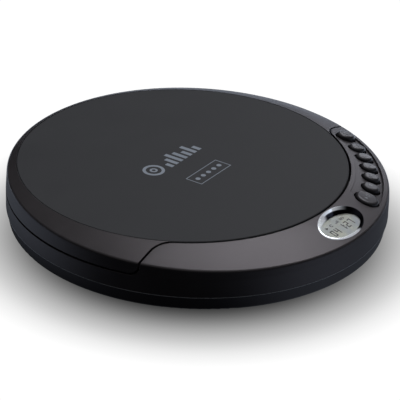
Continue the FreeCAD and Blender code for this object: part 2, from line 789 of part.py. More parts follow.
def chassis_screws():
    screws = []
    for x, y in chassis_screws_at:
        body = fuse([cyl(2.2, 12.8, 14.0, x, y), cyl(0.8, 13.5, 17.6, x, y)])
        screws.append(body.cut(box(x - 1.4, x + 1.4, y - 0.25, y + 0.25, 12, 13.3)))
    return group(screws)


def guide_rods():
    front = rod(1.5, Vector(-62.6, rod_front_y, rod_z), X, 50.4)
    back = rod(1.0, Vector(-62.6, rod_back_y, rod_z), X, 50.4)
    return group([front, back])


def spindle_motor():
    can = cyl(12.0, 8.4, chassis_z0, 0, well_y)
    can = can.makeFillet(0.8, [e for e in can.Edges if e.BoundBox.ZMax < 8.5])
    return can.cut(cyl(spindle_r + running, 0, 20, 0, well_y))


def spindle_shaft():
    return cyl(spindle_r, 8.0, 20.5, 0, well_y)


def pawl_block(width, r0, r1, z0, z1, angle):
    piece = box(r0, r1, -width / 2, width / 2, z0, z1)
    piece.rotate(ORIGIN, Z, angle)
    piece.translate(WELL)
    return piece


def disc_hub():
    flange = cyl(15.0, 19.3, disc_z, 0, well_y)
    flange = flange.makeFillet(0.4, [e for e in flange.Edges if e.BoundBox.ZMin > disc_z - 0.01])
    boss = cyl(boss_r, 20, 23.8, 0, well_y)
    boss = boss.makeFillet(0.9, [e for e in boss.Edges if e.BoundBox.ZMin > 23.7])
    hub = fuse([flange, boss, cyl(3.8, 16.6, 20, 0, well_y)])
    hub = hub.cut(cyl(spindle_r, 0, 20.5, 0, well_y))
    for angle in pawl_angles:
        hub = hub.cut(pawl_block(2.7, 3.6, 9, 22.25, 23.25, angle))
    return hub


def pawl(angle):
    body = pawl_block(2.5, 4.3, 9, 22.3, 23.2, angle)
    return body.common(cyl(boss_r + pawl_reach, 20, 25, 0, well_y))


def pickup_sled():
    x0, x1 = lens_x - 4.6, lens_x + 9.0
    body = box(x0, x1, -7.6, rod_back_y + 1.6, 9.6, 14.3)
    tower = box(lens_x - 4.4, lens_x + 4.4, well_y - 4.4, well_y + 4.4, 14, 16.4)
    sled = fuse([body, tower])
    sled = sled.cut(rod(1.5 + running, Vector(-70, rod_front_y, rod_z), X, 70))
    fork = box(-70, 0, rod_back_y - 1.0 - running, 40, rod_z - 1.0 - running, rod_z + 1.0 + running)
    sled = sled.cut(fork)
    return sled.cut(cyl(2.6, 11, 20, lens_x, well_y))


def sled_rack():
    x0, x1 = lens_x - 6.0, lens_x + 33.5
    back_y = -7.6
    bar = box(x0, x1, -9.8, back_y, 9.6, 11.6)
    pitch = math.pi * gear_module
    teeth = []
    phase = gear_x - x0
    first = phase - pitch * math.floor(phase / pitch)
    count = int((x1 - x0 - first) / pitch)
    for i in range(count):
        x = x0 + first + i * pitch
        if x - 0.4 < x0 or x + 0.4 > x1:
            continue
        tip, root = 0.16, 0.40
        tooth = [(x - root, -9.75), (x + root, -9.75), (x + tip, -10.95), (x - tip, -10.95)]
        teeth.append(polygon(tooth, 9.6, 11.6))
    return fuse([bar] + teeth)


def gear(teeth, z0, z1, x, y, phase):
    """Spur gear with straight-flanked teeth; phase is the angle in degrees of one tooth."""
    pitch_r = 0.5 * gear_module * teeth
    root_r = pitch_r - 1.2 * gear_module
    tip_r = pitch_r + 0.85 * gear_module
    pieces = [cyl(root_r, z0, z1)]
    for i in range(teeth):
        half_root = 0.40 / pitch_r
        half_tip = 0.15 / tip_r
        corners = []
        foot_r = root_r - 0.2
        for r, half in ((foot_r, -half_root), (foot_r, half_root), (tip_r, half_tip), (tip_r, -half_tip)):
            corners.append((r * math.cos(half), r * math.sin(half)))
        tooth = polygon(corners, z0, z1)
        tooth.rotate(ORIGIN, Z, phase + 360.0 * i / teeth)
        pieces.append(tooth)
    wheel = fuse(pieces)
    wheel.translate(Vector(x, y, 0))
    return wheel


def feed_gear():
    large = gear(large_teeth, 6.4, 8.0, gear_x, gear_y, motor_angle)
    small = gear(small_teeth, 9.4, 11.8, gear_x, gear_y, 90.0 + 180.0 / small_teeth)
    hub = cyl(2.3, 7.9, 9.6, gear_x, gear_y)
    return fuse([large, small, hub]).cut(cyl(0.9 + running, 0, 20, gear_x, gear_y))


def motor_place():
    distance = 0.5 * gear_module * (large_teeth + pinion_teeth)
    a = math.radians(motor_angle)
    return gear_x + distance * math.cos(a), gear_y + distance * math.sin(a)


def feed_motor():
    x, y = motor_place()
    can = cyl(6.6, 8.8, chassis_z0, x, y)
    return can.cut(cyl(0.75 + running, 0, 20, x, y))


def motor_pinion():
    x, y = motor_place()
    phase = motor_angle + 180.0 + 180.0 / pinion_teeth
    wheel = gear(pinion_teeth, 6.2, 8.2, x, y, phase)
    return fuse([wheel, cyl(0.75, 5.8, 14.0, x, y)])


def lens_holder():
    body = box(lens_x - 3.2, lens_x + 3.2, well_y - 3.6, well_y + 3.6, 17.0, 18.9)
    return body.cut(cyl(2.1, 10, 30, lens_x, well_y))


def lens():
    dome = Part.makeSphere(3.2, Vector(lens_x, well_y, 16.5))
    return dome.common(cyl(2.1, 17.6, 30, lens_x, well_y))


# ---- output ------------------------------------------------------------------------------
def all_parts():
    parts = {
        "bottom_case": bottom_case(),
        "top_case": top_case(),
        "feet": feet(),
        "case_screws": case_screws(),
        "lid_shell": lid_shell(),
        "lid_panel": lid_panel(),
        "hinge_pin": hinge_pin(),
        "lid_spring": lid_spring(),
        "latch_slider": latch_slider(),
        "latch_spring": latch_spring(),
        "lid_switch": lid_switch(),
        "display_bezel": display_bezel(),
        "display_window": display_window(),
        "lcd_module": lcd_module(),
        "key_switches": key_switches(),
        "main_board": main_board(),
        "board_screws": board_screws(),
        "control_chips": control_chips(),
        "capacitors": capacitors(),
        "crystal": crystal(),
        "headphone_jack": headphone_jack(),
        "power_jack": power_jack(),
        "battery_door": battery_door(),
        "battery_cells": battery_cells(),
        "battery_springs": battery_springs(),
        "battery_contacts": battery_contacts(),
        "battery_wires": battery_wires(),
        "motor_wires": motor_wires(),
        "mech_chassis": mech_chassis(),
        "chassis_dampers": chassis_dampers(),
        "chassis_screws": chassis_screws(),
        "guide_rods": guide_rods(),
        "spindle_motor": spindle_motor(),
        "spindle_shaft": spindle_shaft(),
        "disc_hub": disc_hub(),
        "pickup_sled": pickup_sled(),
        "sled_rack": sled_rack(),
        "lens_holder": lens_holder(),
        "lens": lens(),
        "feed_gear": feed_gear(),
        "feed_motor": feed_motor(),
        "motor_pinion": motor_pinion(),
    }
    for name, angle, half, lift in key_list():
        parts[name] = key_shape(angle, half, lift)
    for name, angle in zip(("hub_pawl_back", "hub_pawl_left", "hub_pawl_right"), pawl_angles):
        parts[name] = pawl(angle)
    return parts


def main():
    os.makedirs("parts", exist_ok=True)
    for name, shape in all_parts().items():
        shape.exportStep(os.path.join("parts", name + ".step"))


main()
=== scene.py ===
import math

import bmesh
import bpy
from mathutils import Matrix, Vector
from mathutils.bvhtree import BVHTree


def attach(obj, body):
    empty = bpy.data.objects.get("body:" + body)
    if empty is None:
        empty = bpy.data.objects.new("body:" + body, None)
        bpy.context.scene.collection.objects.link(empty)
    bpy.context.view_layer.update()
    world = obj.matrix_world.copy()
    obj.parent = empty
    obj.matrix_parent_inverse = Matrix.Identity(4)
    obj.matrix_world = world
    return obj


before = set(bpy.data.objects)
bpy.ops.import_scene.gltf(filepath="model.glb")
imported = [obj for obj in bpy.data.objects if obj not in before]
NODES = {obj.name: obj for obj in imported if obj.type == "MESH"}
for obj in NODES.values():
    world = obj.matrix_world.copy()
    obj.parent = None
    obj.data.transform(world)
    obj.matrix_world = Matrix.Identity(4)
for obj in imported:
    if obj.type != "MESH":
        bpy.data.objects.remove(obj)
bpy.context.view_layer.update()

MM = 0.001


# ---- material helpers --------------------------------------------------------------------
def new_material(name):
    material = bpy.data.materials.new(name)
    material.use_nodes = True
    tree = material.node_tree
    return material, tree, tree.nodes["Principled BSDF"]


def add(tree, kind, **values):
    node = tree.nodes.new(kind)
    for key, value in values.items():
        setattr(node, key, value)
    return node


def put(tree, value, socket):
    """Give an input its value: another node's output, a colour or a number."""
    if isinstance(value, bpy.types.NodeSocket):
        tree.links.new(value, socket)
    elif isinstance(value, tuple) and socket.type == "RGBA":
        socket.default_value = (*value, 1)
    else:
        socket.default_value = value


def calc(tree, operation, *values):
    """A math node on numbers or on other nodes' outputs."""
    node = add(tree, "ShaderNodeMath", operation=operation)
    for value, socket in zip(values, node.inputs):
        put(tree, value, socket)
    return node.outputs["Value"]


def reach(tree, vector, direction):
    """How far a vector reaches along a direction."""
    node = add(tree, "ShaderNodeVectorMath", operation="DOT_PRODUCT")
    put(tree, vector, node.inputs[0])
    put(tree, direction, node.inputs[1])
    return node.outputs["Value"]


def radius_of(tree, vector):
    """Distance from the object's upright axis."""
    plan = add(tree, "ShaderNodeVectorMath", operation="MULTIPLY")
    put(tree, vector, plan.inputs[0])
    put(tree, (1.0, 1.0, 0.0), plan.inputs[1])
    node = add(tree, "ShaderNodeVectorMath", operation="LENGTH")
    put(tree, plan.outputs["Vector"], node.inputs[0])
    return node.outputs["Value"]


def place_of(tree):
    """A point's place in the row frame at rest, in metres."""
    return add(tree, "ShaderNodeTexCoord").outputs["Object"]


def noise(tree, scale, detail=4.0, roughness=0.55, stretch=None):
    """Noise in the row frame's own coordinates, in features per metre."""
    texture = add(tree, "ShaderNodeTexNoise")
    put(tree, scale, texture.inputs["Scale"])
    put(tree, detail, texture.inputs["Detail"])
    put(tree, roughness, texture.inputs["Roughness"])
    source = place_of(tree)
    if stretch:
        mapping = add(tree, "ShaderNodeMapping")
        put(tree, stretch, mapping.inputs["Scale"])
        put(tree, source, mapping.inputs["Vector"])
        source = mapping.outputs["Vector"]
    put(tree, source, texture.inputs["Vector"])
    return texture.outputs["Fac"]


def map_range(tree, value, low, high, a, b, curve="LINEAR"):
    node = add(tree, "ShaderNodeMapRange", interpolation_type=curve)
    for key, given in (("Value", value), ("From Min", low), ("From Max", high), ("To Min", a), ("To Max", b)):
        put(tree, given, node.inputs[key])
    return node.outputs["Result"]


def spread(tree, value, a, b):
    """Noise stretched to run from a to b; most of it lies between 0.3 and 0.7."""
    return map_range(tree, value, 0.3, 0.7, a, b)


def ramp(tree, value, low, high, a, b):
    """Smooth change from a to b while the value runs from low to high."""
    return map_range(tree, value, low, high, a, b, "SMOOTHSTEP")


def mix_colour(tree, factor, a, b):
    node = add(tree, "ShaderNodeMix", data_type="RGBA")
    put(tree, factor, node.inputs["Factor"])
    put(tree, a, node.inputs["A"])
    put(tree, b, node.inputs["B"])
    return node.outputs["Result"]


def bump(tree, shader, height, strength, distance, edge):
    """Fine grain, and worn edges of radius edge where it isn't 0."""
    node = add(tree, "ShaderNodeBump")
    if edge:
        rounded = add(tree, "ShaderNodeBevel", samples=4)
        put(tree, edge, rounded.inputs["Radius"])
        put(tree, rounded.outputs["Normal"], node.inputs["Normal"])
    put(tree, strength, node.inputs["Strength"])
    put(tree, distance, node.inputs["Distance"])
    put(tree, height, node.inputs["Height"])
    put(tree, node.outputs["Normal"], shader.inputs["Normal"])


def surface(name, dark, light, rough, metallic=0.0, grain=2500.0, bump_mm=0.01, bump_strength=0.4,
            mottling=60.0, coat=0.0, stretch=None, specular=0.5, edge_mm=0.0):
    """A moulded, painted or metal surface: mottled colour, uneven gloss and a fine grain."""
    material, tree, shader = new_material(name)
    broad = noise(tree, mottling, 5.0)
    fine = noise(tree, grain, 2.0, 0.5, stretch)
    put(tree, mix_colour(tree, spread(tree, broad, 0.0, 1.0), dark, light), shader.inputs["Base Color"])
    put(tree, spread(tree, broad, *rough), shader.inputs["Roughness"])
    put(tree, metallic, shader.inputs["Metallic"])
    put(tree, coat, shader.inputs["Coat Weight"])
    put(tree, specular, shader.inputs["Specular IOR Level"])
    bump(tree, shader, fine, bump_strength, bump_mm * MM, edge_mm * MM)
    return material


# ---- the materials -----------------------------------------------------------------------
# material name, dark and light colour, least and greatest roughness, then whatever isn't usual
SURFACES = {
    "panel": ("panel_plastic", (0.050, 0.052, 0.057), (0.058, 0.060, 0.065), (0.60, 0.68),
              dict(grain=4200, bump_mm=0.02, bump_strength=0.5, specular=0.30, edge_mm=0.15)),
    "ring": ("satin_taupe_paint", (0.064, 0.058, 0.063), (0.076, 0.069, 0.075), (0.38, 0.44),
             dict(metallic=0.6, grain=9000, bump_mm=0.004, bump_strength=0.25, coat=0.05, edge_mm=0.22)),
    "base": ("satin_base_paint", (0.040, 0.037, 0.041), (0.050, 0.046, 0.051), (0.40, 0.46),
             dict(metallic=0.6, grain=9000, bump_mm=0.004, bump_strength=0.25, edge_mm=0.2)),
    "key": ("key_paint", (0.052, 0.050, 0.056), (0.066, 0.063, 0.070), (0.28, 0.36),
            dict(metallic=0.5, grain=9000, bump_mm=0.003, bump_strength=0.2, coat=0.15)),
    "inner": ("inner_plastic", (0.034, 0.034, 0.037), (0.050, 0.050, 0.054), (0.42, 0.56),
              dict(grain=3800, bump_mm=0.02)),
    "chrome": ("bright_chrome", (0.62, 0.64, 0.69), (0.74, 0.76, 0.80), (0.05, 0.09),
               dict(metallic=1.0, grain=3000, bump_mm=0.001, bump_strength=0.1)),
    "steel": ("zinc_steel", (0.46, 0.47, 0.48), (0.58, 0.59, 0.60), (0.28, 0.42),
              dict(metallic=1.0, grain=1500, bump_mm=0.004, bump_strength=0.3, stretch=(1, 12, 1))),
    "bright_steel": ("ground_steel", (0.62, 0.62, 0.64), (0.72, 0.72, 0.74), (0.14, 0.22),
                     dict(metallic=1.0, grain=1800, bump_mm=0.002, bump_strength=0.2, stretch=(1, 14, 14))),
    "spring": ("spring_steel", (0.50, 0.50, 0.51), (0.62, 0.62, 0.63), (0.2, 0.3),
               dict(metallic=1.0, grain=2600, bump_mm=0.002, bump_strength=0.2)),
    "rubber": ("foot_rubber", (0.014, 0.014, 0.014), (0.022, 0.022, 0.022), (0.75, 0.88),
               dict(grain=2600, bump_mm=0.03, bump_strength=0.6)),
    "acetal": ("acetal", (0.70, 0.68, 0.62), (0.80, 0.78, 0.72), (0.35, 0.45),
               dict(grain=2600, bump_mm=0.006, bump_strength=0.3)),
    "chip": ("chip_resin", (0.012, 0.012, 0.012), (0.020, 0.020, 0.020), (0.5, 0.62),
             dict(grain=5200)),
    "can": ("capacitor_can", (0.55, 0.55, 0.57), (0.65, 0.65, 0.67), (0.25, 0.35),
            dict(metallic=1.0, grain=2600, bump_mm=0.003, bump_strength=0.2)),
    "cell": ("cell_sleeve", (0.10, 0.11, 0.12), (0.13, 0.14, 0.15), (0.2, 0.28),
             dict(metallic=0.3, grain=900, bump_mm=0.004, bump_strength=0.2, coat=0.5)),
    "wire": ("wire_sleeve", (0.26, 0.02, 0.02), (0.34, 0.03, 0.03), (0.35, 0.45),
             dict(grain=2600, bump_mm=0.004, bump_strength=0.2)),
    "board": ("board_mask", (0.010, 0.060, 0.028), (0.016, 0.085, 0.040), (0.25, 0.38),
              dict(grain=1400, coat=0.3)),
    "lcd": ("lcd_glass", (0.66, 0.72, 0.76), (0.78, 0.80, 0.70), (0.22, 0.30),
            dict(grain=4000, bump_mm=0.001, bump_strength=0.1, mottling=160)),
    "ink": ("lcd_ink", (0.030, 0.034, 0.038), (0.055, 0.060, 0.064), (0.4, 0.5),
            dict(grain=4000, bump_mm=0.001, bump_strength=0.1)),
    "print": ("pale_print", (0.33, 0.38, 0.45), (0.40, 0.45, 0.52), (0.45, 0.55),
              dict(grain=6000, bump_mm=0.002, bump_strength=0.2)),
    "icon": ("key_icon", (0.20, 0.21, 0.23), (0.26, 0.27, 0.29), (0.35, 0.45),
             dict(grain=6000, bump_mm=0.002, bump_strength=0.2)),
    # painted highlight: the seam bead is coloured far lighter than the case round it, so it shows as a light
    # line
    "lip": ("polished_lip", (0.30, 0.31, 0.33), (0.38, 0.39, 0.41), (0.25, 0.32),
            dict(metallic=0.6, grain=6000, bump_mm=0.002, bump_strength=0.2)),
    "label": ("blank_label", (0.20, 0.20, 0.21), (0.25, 0.25, 0.26), (0.4, 0.5),
              dict(metallic=0.6, grain=2200, bump_mm=0.003, bump_strength=0.2, stretch=(1, 9, 1))),
    "lens": ("coated_lens", (0.10, 0.14, 0.30), (0.16, 0.20, 0.38), (0.02, 0.05),
             dict(metallic=0.2, grain=800, bump_mm=0.0005, bump_strength=0.1, coat=1.0)),
}

NODE_MATERIALS = {
    "ring": ("top_case", "lid_shell"),
    "panel": ("lid_panel",),
    "base": ("bottom_case", "battery_door"),
    "key": ("play_key", "stop_key", "back_key", "forward_key", "mode_key", "bass_key", "open_key"),
    "inner": ("lid_switch", "key_switches", "headphone_jack", "power_jack", "disc_hub", "pickup_sled",
              "lens_holder"),
    "chrome": ("display_bezel",),
    "window": ("display_window",),
    "lcd": ("lcd_module",),
    "rubber": ("feet", "chassis_dampers"),
    "steel": ("case_screws", "board_screws", "chassis_screws", "mech_chassis", "spindle_motor", "feed_motor"),
    "bright_steel": ("hinge_pin", "guide_rods", "spindle_shaft", "battery_contacts", "crystal"),
    "spring": ("lid_spring", "latch_spring", "battery_springs"),
    "acetal": ("latch_slider", "sled_rack", "feed_gear", "motor_pinion", "hub_pawl_back", "hub_pawl_left",
               "hub_pawl_right"),
    "board": ("main_board",),
    "chip": ("control_chips",),
    "can": ("capacitors",),
    "cell": ("battery_cells",),
    "wire": ("battery_wires", "motor_wires"),
    "lens": ("lens",),
}

# The mouldings are left unpainted within this radius and below this height, in metres.
INSIDE_R = 0.0590
INSIDE_Z = 0.0247
BARE_DARK = (0.075, 0.075, 0.080)
BARE_LIGHT = (0.105, 0.105, 0.110)

# The plating's colour carries a painted reflection of a black card. Each line is a direction, then where
# along it the painted card starts and where it is full, in metres: first a sector of the bowl's right wall,
# then a line along the foot of the far wall, next to the glass.
PAINTED_CARD_SECTOR = (((0.565, -0.825, 0.0), 0.0470, 0.0530), ((0.79, 0.61, 0.0), -0.0412, -0.0388))
PAINTED_CARD_LINE = (((0.0, 0.3140, -0.9494), -0.04235, -0.04205), ((0.79, 0.61, 0.0), -0.0375, -0.0355))
PAINTED_CARD_COLOUR = (0.030, 0.031, 0.040)
PAINTED_GLINT = 0.42                       # painted glint: emission standing in for the studio's walls seen in the plating
# colour of the painted glint
PAINTED_GLINT_COLOUR = (0.82, 0.86, 0.93)


def bare_inside(material, metallic):
    """The paint stops at the outer skin: the lid's inside and the disc well are bare plastic."""
    tree = material.node_tree
    shader = tree.nodes["Principled BSDF"]
    paint = shader.inputs["Base Color"].links[0].from_socket
    place = place_of(tree)
    height = reach(tree, place, (0.0, 0.0, 1.0))
    within = ramp(tree, radius_of(tree, place), INSIDE_R, INSIDE_R + 0.3 * MM, 1.0, 0.0)
    under = ramp(tree, height, INSIDE_Z, INSIDE_Z + 0.1 * MM, 1.0, 0.0)
    inside = calc(tree, "MULTIPLY", within, under)
    bare = mix_colour(tree, noise(tree, 90.0), BARE_DARK, BARE_LIGHT)
    put(tree, mix_colour(tree, inside, paint, bare), shader.inputs["Base Color"])
    put(tree, ramp(tree, inside, 0.0, 1.0, metallic, 0.0), shader.inputs["Metallic"])


def paint_card_reflection(material):
    """Paints a black card's reflection into the plating's colour, and lets the rest glow with a painted
    glint.
    """
    tree = material.node_tree
    shader = tree.nodes["Principled BSDF"]
    plated = shader.inputs["Base Color"].links[0].from_socket
    place = place_of(tree)
    parts = []
    # masks of the painted card reflection, darkening the plating's colour
    for edges in (PAINTED_CARD_SECTOR, PAINTED_CARD_LINE):
        first, second = [ramp(tree, reach(tree, place, direction), low, high, 0.0, 1.0)
                         for direction, low, high in edges]
        parts.append(calc(tree, "MULTIPLY", first, second))
    painted_card = calc(tree, "MAXIMUM", *parts)
    put(tree, mix_colour(tree, painted_card, plated, PAINTED_CARD_COLOUR), shader.inputs["Base Color"])
    put(tree, PAINTED_GLINT_COLOUR, shader.inputs["Emission Color"])
    # painted glint: the plating glows wherever the painted card reflection isn't
    painted_glint = calc(tree, "MULTIPLY_ADD", painted_card, -PAINTED_GLINT, PAINTED_GLINT)
    put(tree, painted_glint, shader.inputs["Emission Strength"])


def clear_window():
    """The display's thin clear cover, with a trace of smudging."""
    material, tree, shader = new_material("window_clear")
    put(tree, spread(tree, noise(tree, 220, 4.0), 0.02, 0.06), shader.inputs["Roughness"])
    put(tree, (1.0, 1.0, 1.0), shader.inputs["Base Color"])
    put(tree, 1.0, shader.inputs["Transmission Weight"])
    put(tree, 1.1, shader.inputs["IOR"])
    return material


def make_materials():
    made = {key: surface(name, dark, light, rough, **rest)
            for key, (name, dark, light, rough, rest) in SURFACES.items()}
    bare_inside(made["ring"], SURFACES["ring"][4]["metallic"])
    paint_card_reflection(made["chrome"])
    made["window"] = clear_window()
    return made


def paint_nodes(materials):
    for key, names in NODE_MATERIALS.items():
        for name in names:
            node = NODES[name]
            node.data.materials.clear()
            node.data.materials.append(materials[key])


# ---- thin printed or raised pieces -------------------------------------------------------
def new_piece(name, verts, faces, material, body):
    mesh = bpy.data.meshes.new(name)
    mesh.from_pydata(verts, [], faces)
    mesh.materials.append(material)
    piece = bpy.data.objects.new(name, mesh)
    bpy.context.scene.collection.objects.link(piece)
    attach(piece, body)
    return mesh


def relief(name, outlines, at, low, high, material, body, cuts=0):
    """Thin closed plate over flat outlines; at(u, v, h) gives the place of a point at height h."""
    flat = bmesh.new()
    for outline in outlines:
        flat.faces.new([flat.verts.new((u, v, 0)) for u, v in outline])
    bmesh.ops.triangulate(flat, faces=flat.faces[:])
    if cuts:
        bmesh.ops.subdivide_edges(flat, edges=flat.edges[:], cuts=cuts, use_grid_fill=True)
        bmesh.ops.triangulate(flat, faces=flat.faces[:])
    flat.verts.index_update()
    points = [(v.co.x, v.co.y) for v in flat.verts]
    count = len(points)
    verts = [at(u, v, high) for u, v in points] + [at(u, v, low) for u, v in points]
    faces = []
    for face in flat.faces:
        loop = [v.index for v in face.verts]
        faces.append(loop)
        faces.append([i + count for i in reversed(loop)])
        for loop_edge in face.loops:
            if loop_edge.edge.is_boundary:
                a, b = loop_edge.vert.index, loop_edge.link_loop_next.vert.index
                faces.append([b, a, a + count, b + count])
    flat.free()
    new_piece(name, verts, faces, material, body)


def circle(x, y, r, steps=48):
    return [(x + r * math.cos(2 * math.pi * i / steps), y + r * math.sin(2 * math.pi * i / steps))
            for i in range(steps)]


def annulus(x, y, r_in, r_out, start=0.0, sweep=360.0, steps=48):
    """Flat ring or part of one, as short quadrilaterals."""
    quads = []
    for i in range(steps):
        a = math.radians(start + sweep * i / steps)
        b = math.radians(start + sweep * (i + 1) / steps)
        quads.append([(x + r * math.cos(t), y + r * math.sin(t))
                      for r, t in ((r_in, a), (r_out, a), (r_out, b), (r_in, b))])
    return quads


def bar(x0, x1, y0, y1):
    return [(x0, y0), (x1, y0), (x1, y1), (x0, y1)]


def level(z):
    """Places on a level plane at height z."""
    return lambda u, v, h: (u * MM, v * MM, (z + h) * MM)


def beneath(z):
    """Places on a level plane seen from below."""
    return lambda u, v, h: (-u * MM, v * MM, (z - h) * MM)


# ---- display -----------------------------------------------------------------------------
DISPLAY_AT = (-1.3, -61.7, 24.752)        # where the sloping shoulder carries the display
DISPLAY_TILT = math.radians(18.3)         # the shoulder's slope there
GLASS_RECLINE = math.radians(8.5)         # the glass leans back by this against the shoulder
GLASS_SHIFT = -0.45
GLASS_Z = -1.25
LCD_TOP = -0.55                           # the liquid crystal glass below the clear cover
INK_T = 0.03
SEGMENTS = {"0": "abcdef", "1": "bc", "2": "abged", "4": "fgbc", "7": "abc"}
NUMERAL_W = 1.7
NUMERAL_H = 3.3
NUMERAL_BAR = 0.42
NUMERAL_Y = -2.5
NUMERAL_STEP = 1.45                       # in numeral widths
NUMERAL_LEAN = 0.12
SEGMENT_GAP = 0.08


def turned(v, w, angle):
    return v * math.cos(angle) - w * math.sin(angle), v * math.sin(angle) + w * math.cos(angle)


def on_display(u, v, h):
    """Places on the reclined display, h above the liquid crystal glass."""
    v, w = turned(v, LCD_TOP + h, -GLASS_RECLINE)
    y, z = turned(v + GLASS_SHIFT, w + GLASS_Z, DISPLAY_TILT)
    return ((DISPLAY_AT[0] + u) * MM, (DISPLAY_AT[1] + y) * MM, (DISPLAY_AT[2] + z) * MM)


def seven_segments(text, x):
    """Outlines of seven-segment numerals from x on, each slightly slanted."""
    w, h, b, gap = NUMERAL_W, NUMERAL_H, NUMERAL_BAR, SEGMENT_GAP
    half = h / 2
    spots = {
        "a": bar(gap, w - gap, h - b, h),
        "g": bar(gap, w - gap, half - b / 2, half + b / 2),
        "d": bar(gap, w - gap, 0, b),
        "f": bar(0, b, half + gap, h - gap),
        "b": bar(w - b, w, half + gap, h - gap),
        "e": bar(0, b, gap, half - gap),
        "c": bar(w - b, w, gap, half - gap),
    }
    found = []
    for i, numeral in enumerate(text):
        left = x + i * w * NUMERAL_STEP
        for key in SEGMENTS[numeral]:
            found.append([(left + u + NUMERAL_LEAN * v, NUMERAL_Y + v) for u, v in spots[key]])
    return found


def frame_bars(x0, x1, y0, y1, t):
    """The four sides of an upright rectangle, lines of thickness t."""
    return [bar(x0, x1, y0, y0 + t), bar(x0, x1, y1 - t, y1),
            bar(x0, x0 + t, y0 + t, y1 - t), bar(x1 - t, x1, y0 + t, y1 - t)]


def make_display(materials):
    """Track 04 and a time, under a play mark, a repeat ring, rising level bars and a battery."""
    marks = seven_segments("04", -6.6) + seven_segments("1", -0.6) + seven_segments("27", 2.2)
    marks += [bar(1.35, 1.75, -1.8, -1.4), bar(1.45, 1.85, -0.6, -0.2)]
    play_mark = [(-5.6, 1.9), (-4.3, 2.55), (-5.6, 3.2)]
    repeat_ring = annulus(-2.2, 2.5, 0.42, 0.75, 20, 300, 20)
    levels = [bar(0.2 + 0.55 * i, 0.5 + 0.55 * i, 1.9, 2.3 + 0.25 * i) for i in range(4)]
    battery = frame_bars(3.6, 5.6, 1.95, 3.1, 0.15)
    battery += [bar(5.6, 5.85, 2.3, 2.75), bar(3.9, 4.3, 2.25, 2.8), bar(4.5, 4.9, 2.25, 2.8)]
    signs = [play_mark] + repeat_ring + levels + battery
    for name, outlines in (("lcd_numerals", marks), ("lcd_signs", signs)):
        relief(name, outlines, on_display, 0.0, INK_T, materials["ink"], "case")


# ---- key icons ---------------------------------------------------------------------------
KEY_RING_R = 63.0                         # the keys stand on this circle
KEY_ANGLES = {"play_key": 18.3, "stop_key": 26.3, "back_key": 33.3, "forward_key": 40.3, "mode_key": 47.3,
              "bass_key": 54.3, "open_key": 62.9}
ICON_SUNK = -0.15                         # the icons are inlaid, and stand just proud of the caps
ICON_PROUD = 0.05
ICON_CUTS = 2                             # extra edges, so that an icon follows its cap's crown
ABOVE_ALL = 0.05                          # a height above the whole object, in metres


def icon_outlines():
    """Plain transport symbols, drawn a few millimetres across."""
    play = [[(-1.5, -0.8), (-0.1, 0.0), (-1.5, 0.8)], bar(0.35, 0.75, -0.8, 0.8), bar(1.15, 1.55, -0.8, 0.8)]
    back = [[(0.0, -0.65), (0.0, 0.65), (-0.95, 0.0)], [(1.0, -0.65), (1.0, 0.65), (0.05, 0.0)],
            bar(-1.25, -1.0, -0.65, 0.65)]
    forward = [[(-u, v) for u, v in reversed(outline)] for outline in back]
    mode = annulus(0, 0, 0.6, 0.85, 30, 290, 24) + [[(0.45, 0.05), (1.15, 0.05), (0.8, 0.55)]]
    bass = [bar(-1.0 + 0.5 * i, -0.75 + 0.5 * i, -0.6, -0.1 + 0.22 * i) for i in range(4)]
    lift = [[(-0.95, -0.1), (0.95, -0.1), (0.0, 0.85)], bar(-0.95, 0.95, -0.65, -0.35)]
    return {"play_key": play, "stop_key": [bar(-0.6, 0.6, -0.6, 0.6)], "back_key": back,
            "forward_key": forward, "mode_key": mode, "bass_key": bass, "open_key": lift}


def on_node(name, centre, turn):
    """Places draped over a node's upper side, with h above its surface."""
    node = NODES[name]
    tree = BVHTree.FromObject(node, bpy.context.evaluated_depsgraph_get())
    into = node.matrix_world.inverted()
    down = into.to_3x3() @ Vector((0, 0, -1))

    def place(u, v, h):
        across, along = turned(u, v, turn)
        x, y = (centre[0] + across) * MM, (centre[1] + along) * MM
        hit = tree.ray_cast(into @ Vector((x, y, ABOVE_ALL)), down)[0]
        return (x, y, (node.matrix_world @ hit).z + h * MM)
    return place


def make_key_icons(materials):
    for name, outlines in icon_outlines().items():
        a = math.radians(KEY_ANGLES[name])
        centre = (KEY_RING_R * math.sin(a), -KEY_RING_R * math.cos(a))
        relief("icon_" + name, outlines, on_node(name, centre, a), ICON_SUNK, ICON_PROUD, materials["icon"],
               name, ICON_CUTS)


# ---- panel print, lid inside, hub pad, underside -----------------------------------------
WELL_Y = 6.8                              # the disc's centre lies this far behind the case's
PANEL_Z = 27.0
PRINT_T = 0.02
PRINT_LINE = 0.3
LID_UNDER_Z = 24.6
RIB_HALF = 0.4
RIB_DEPTH = 0.7
RIB_INNER_R = 24.0
RIB_OUTER_R = 44.0
RIB_RING_T = 0.8
RIB_GAP = 0.1                             # the spokes end this far short of both rings
RIB_COUNT = 12
HUB_FLANGE_Z = 21.0
PAD_T = 0.12
BASE_Z = 1.2
LABEL_HALF = (17.0, 9.0)
LABEL_CORNER = 2.0
LABEL_Y = -8.0
LABEL_T = 0.06
BEAD_AT = (69.88, 12.33)                  # radius and height of the bead's centre
BEAD_R = 0.13
BEAD_STEPS = 240
BEAD_SIDES = 8


def make_panel_print(materials):
    """A plain disc beside a row of bars, and a smaller framed row of dots."""
    disc = annulus(-12.6, 11.0, 2.9, 4.1) + annulus(-12.6, 11.0, 0.7, 1.5, 0, 360, 24)
    heights = (3.2, 5.6, 7.8, 6.4, 4.4, 7.0, 3.6)
    disc += [bar(-6.6 + 2.9 * i, -4.9 + 2.9 * i, 7.1, 7.1 + high) for i, high in enumerate(heights)]
    dots = [circle(-8.2 + 3.35 * i, -5.5, 0.95, 24) for i in range(5)]
    dots = frame_bars(-11.0, 8.0, -9.0, -2.0, PRINT_LINE) + dots
    for name, outlines in (("panel_print", disc), ("panel_dots", dots)):
        relief(name, outlines, level(PANEL_Z), 0.0, PRINT_T, materials["print"], "lid")


